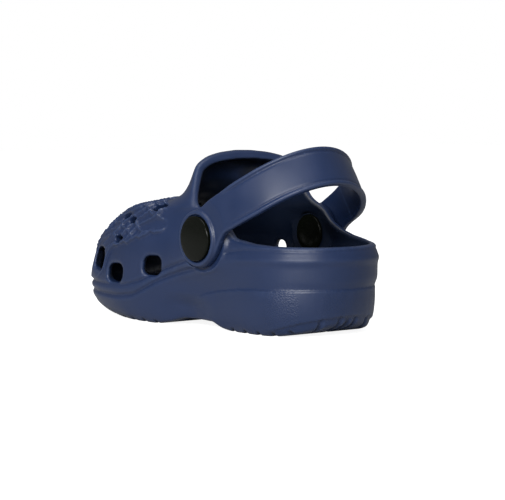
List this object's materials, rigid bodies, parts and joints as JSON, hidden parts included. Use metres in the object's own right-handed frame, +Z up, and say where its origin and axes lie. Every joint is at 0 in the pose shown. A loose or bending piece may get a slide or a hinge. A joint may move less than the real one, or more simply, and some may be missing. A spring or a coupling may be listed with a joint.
{
  "type": "garden clog",
  "caption": "Child's closed-toe garden clog in moulded foam, with side and roof vents and a heel strap that swings on push-in rivets.",
  "frame": {"origin": "centre of the footprint, on the ground under the tread", "axes": "+X towards the toe, +Y towards the inner side of the foot, +Z up"},
  "size_m": [0.183, 0.0828, 0.0873],
  "materials": {
    "body_foam": "satin moulded EVA foam, navy",
    "strap_foam": "satin moulded EVA foam, navy",
    "rivet_plastic": "glossy moulded plastic, near black"
  },
  "bodies": {
    "clog": {"clog_body": "body_foam", "rivet_head_inner": "rivet_plastic", "rivet_cap_inner": "rivet_plastic", "rivet_head_outer": "rivet_plastic", "rivet_cap_outer": "rivet_plastic"},
    "strap": {"heel_strap": "strap_foam"}
  },
  "joints": [
    {"name": "strap_pivot", "type": "hinge", "parent": "clog", "child": "strap", "pos_m": [-0.0275, 0, 0.0434], "axis": [0, 1, 0], "range_deg": [-18, 104]}
  ]
}
